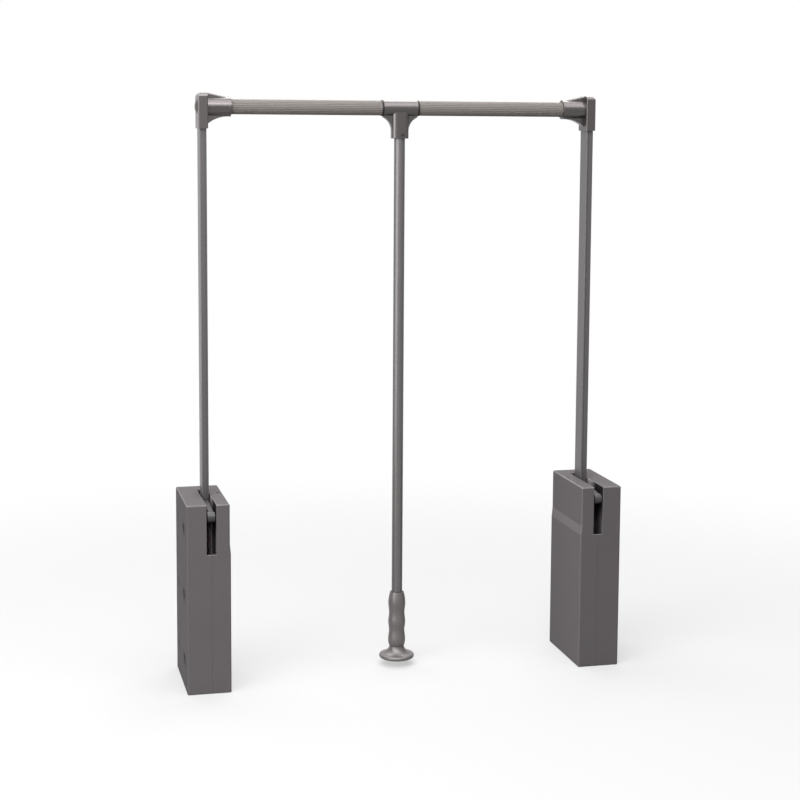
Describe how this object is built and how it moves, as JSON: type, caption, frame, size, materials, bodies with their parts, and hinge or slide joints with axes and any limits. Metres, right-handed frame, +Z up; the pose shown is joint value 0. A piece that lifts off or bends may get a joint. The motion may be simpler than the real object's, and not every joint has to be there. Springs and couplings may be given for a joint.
{
  "type": "pull down closet rod",
  "caption": "Pull down closet rod: two slim spring housings carry flat arms joined by a telescopic hanging rod with a pull rod and flared grip.",
  "frame": {"origin": "on the floor, midway between the two housings and in the middle of their depth", "axes": "+X along the hanging rod, -Y towards the user, +Z up"},
  "size_m": [0.65, 0.135, 0.854],
  "materials": {
    "painted_shell": "satin metallic paint on moulded plastic",
    "painted_tube": "satin metallic paint",
    "painted_casting": "satin metallic paint on a die casting",
    "painted_grip": "satin metallic paint on moulded plastic",
    "bright_steel": "zinc plated",
    "grey_steel": "zinc plated and dulled",
    "dark_steel": "blackened steel",
    "zinc_hub": "die-cast zinc",
    "black_plastic": "moulded nylon",
    "rubber": "black rubber",
    "spring_steel": "oiled spring steel"
  },
  "bodies": {
    "left_housing": {"left_base_shell": "painted_shell", "left_cover_shell": "painted_shell", "left_cover_screws": "dark_steel", "left_pivot_axle": "bright_steel", "left_axle_lock_screw": "dark_steel", "left_stop_pin": "bright_steel", "left_stop_buffer": "rubber", "left_spring_seat": "black_plastic", "left_spring_guide_rod": "bright_steel", "left_compression_spring": "spring_steel"},
    "left_plunger": {"left_spring_plunger": "black_plastic", "left_roller_pin": "bright_steel"},
    "left_roller": {"left_cam_roller": "bright_steel"},
    "left_arm": {"left_arm_hub": "zinc_hub", "left_spring_cam": "dark_steel", "left_arm_lever": "grey_steel", "left_arm_rivets": "painted_tube", "left_arm_tube": "painted_tube", "left_arm_elbow": "painted_casting", "left_elbow_arm_screw": "dark_steel", "left_elbow_screw": "dark_steel", "left_elbow_cap": "painted_casting", "left_cross_tube": "painted_tube", "left_tube_plug": "black_plastic", "left_tube_end_bush": "black_plastic"},
    "right_housing": {"right_base_shell": "painted_shell", "right_cover_shell": "painted_shell", "right_cover_screws": "dark_steel", "right_pivot_axle": "bright_steel", "right_axle_lock_screw": "dark_steel", "right_stop_pin": "bright_steel", "right_stop_buffer": "rubber", "right_spring_seat": "black_plastic", "right_spring_guide_rod": "bright_steel", "right_compression_spring": "spring_steel"},
    "right_plunger": {"right_spring_plunger": "black_plastic", "right_roller_pin": "bright_steel"},
    "right_roller": {"right_cam_roller": "bright_steel"},
    "right_arm": {"right_arm_hub": "zinc_hub", "right_spring_cam": "dark_steel", "right_arm_lever": "grey_steel", "right_arm_rivets": "painted_tube", "right_arm_tube": "painted_tube", "right_arm_elbow": "painted_casting", "right_elbow_arm_screw": "dark_steel", "right_elbow_screw": "dark_steel", "right_elbow_cap": "painted_casting", "right_cross_tube": "painted_tube", "right_tube_plug": "black_plastic", "right_tube_end_bush": "black_plastic"},
    "sliding_centre": {"inner_tube": "bright_steel", "tee_retaining_rings": "bright_steel"},
    "pull_rod": {"tee_connector": "painted_casting", "tee_screw": "dark_steel", "pull_tube": "painted_tube", "pull_grip": "painted_grip", "grip_plug": "black_plastic", "grip_screw": "dark_steel"}
  },
  "joints": [
    {"name": "width_adjust", "type": "slide", "parent": "left_housing", "child": "right_housing", "axis": [1, 0, 0], "range_m": [0, 0.35]},
    {"name": "pull_down", "type": "hinge", "parent": "left_housing", "child": "left_arm", "pos_m": [-0.2895, 0.0125, 0.238], "axis": [1, 0, 0], "range_deg": [0, 100], "stiffness_Nm_per_rad": 8, "springref_deg": -34.38},
    {"name": "right_arm_swing", "type": "hinge", "parent": "right_housing", "child": "right_arm", "pos_m": [0.2895, 0.0125, 0.238], "axis": [1, 0, 0], "range_deg": [0, 100], "stiffness_Nm_per_rad": 8, "springref_deg": -34.38},
    {"name": "centre_slide", "type": "slide", "parent": "left_arm", "child": "sliding_centre", "axis": [1, 0, 0], "range_m": [0, 0.175]},
    {"name": "pull_rod_swing", "type": "hinge", "parent": "sliding_centre", "child": "pull_rod", "pos_m": [0, 0.0125, 0.834], "axis": [1, 0, 0], "continuous": true},
    {"name": "left_plunger_slide", "type": "slide", "parent": "left_housing", "child": "left_plunger", "axis": [0, 0, -1], "range_m": [0, 0.0301], "deforming": ["left_compression_spring"]},
    {"name": "left_roller_spin", "type": "hinge", "parent": "left_plunger", "child": "left_roller", "pos_m": [-0.3075, 0.0125, 0.2077], "axis": [1, 0, 0], "range_deg": [-465, 0]},
    {"name": "right_plunger_slide", "type": "slide", "parent": "right_housing", "child": "right_plunger", "axis": [0, 0, -1], "range_m": [0, 0.0301], "deforming": ["right_compression_spring"]},
    {"name": "right_roller_spin", "type": "hinge", "parent": "right_plunger", "child": "right_roller", "pos_m": [0.3075, 0.0125, 0.2077], "axis": [1, 0, 0], "range_deg": [-465, 0]}
  ],
  "couplings": [
    {"joint": "right_arm_swing", "follows": "pull_down", "ratio": 1},
    {"joint": "centre_slide", "follows": "width_adjust", "ratio": 0.5},
    {"joint": "left_plunger_slide", "follows": "pull_down", "m_per_rad": 0.017189},
    {"joint": "left_roller_spin", "follows": "pull_down", "ratio": -4.625},
    {"joint": "right_plunger_slide", "follows": "pull_down", "m_per_rad": 0.017189},
    {"joint": "right_roller_spin", "follows": "pull_down", "ratio": -4.625}
  ]
}
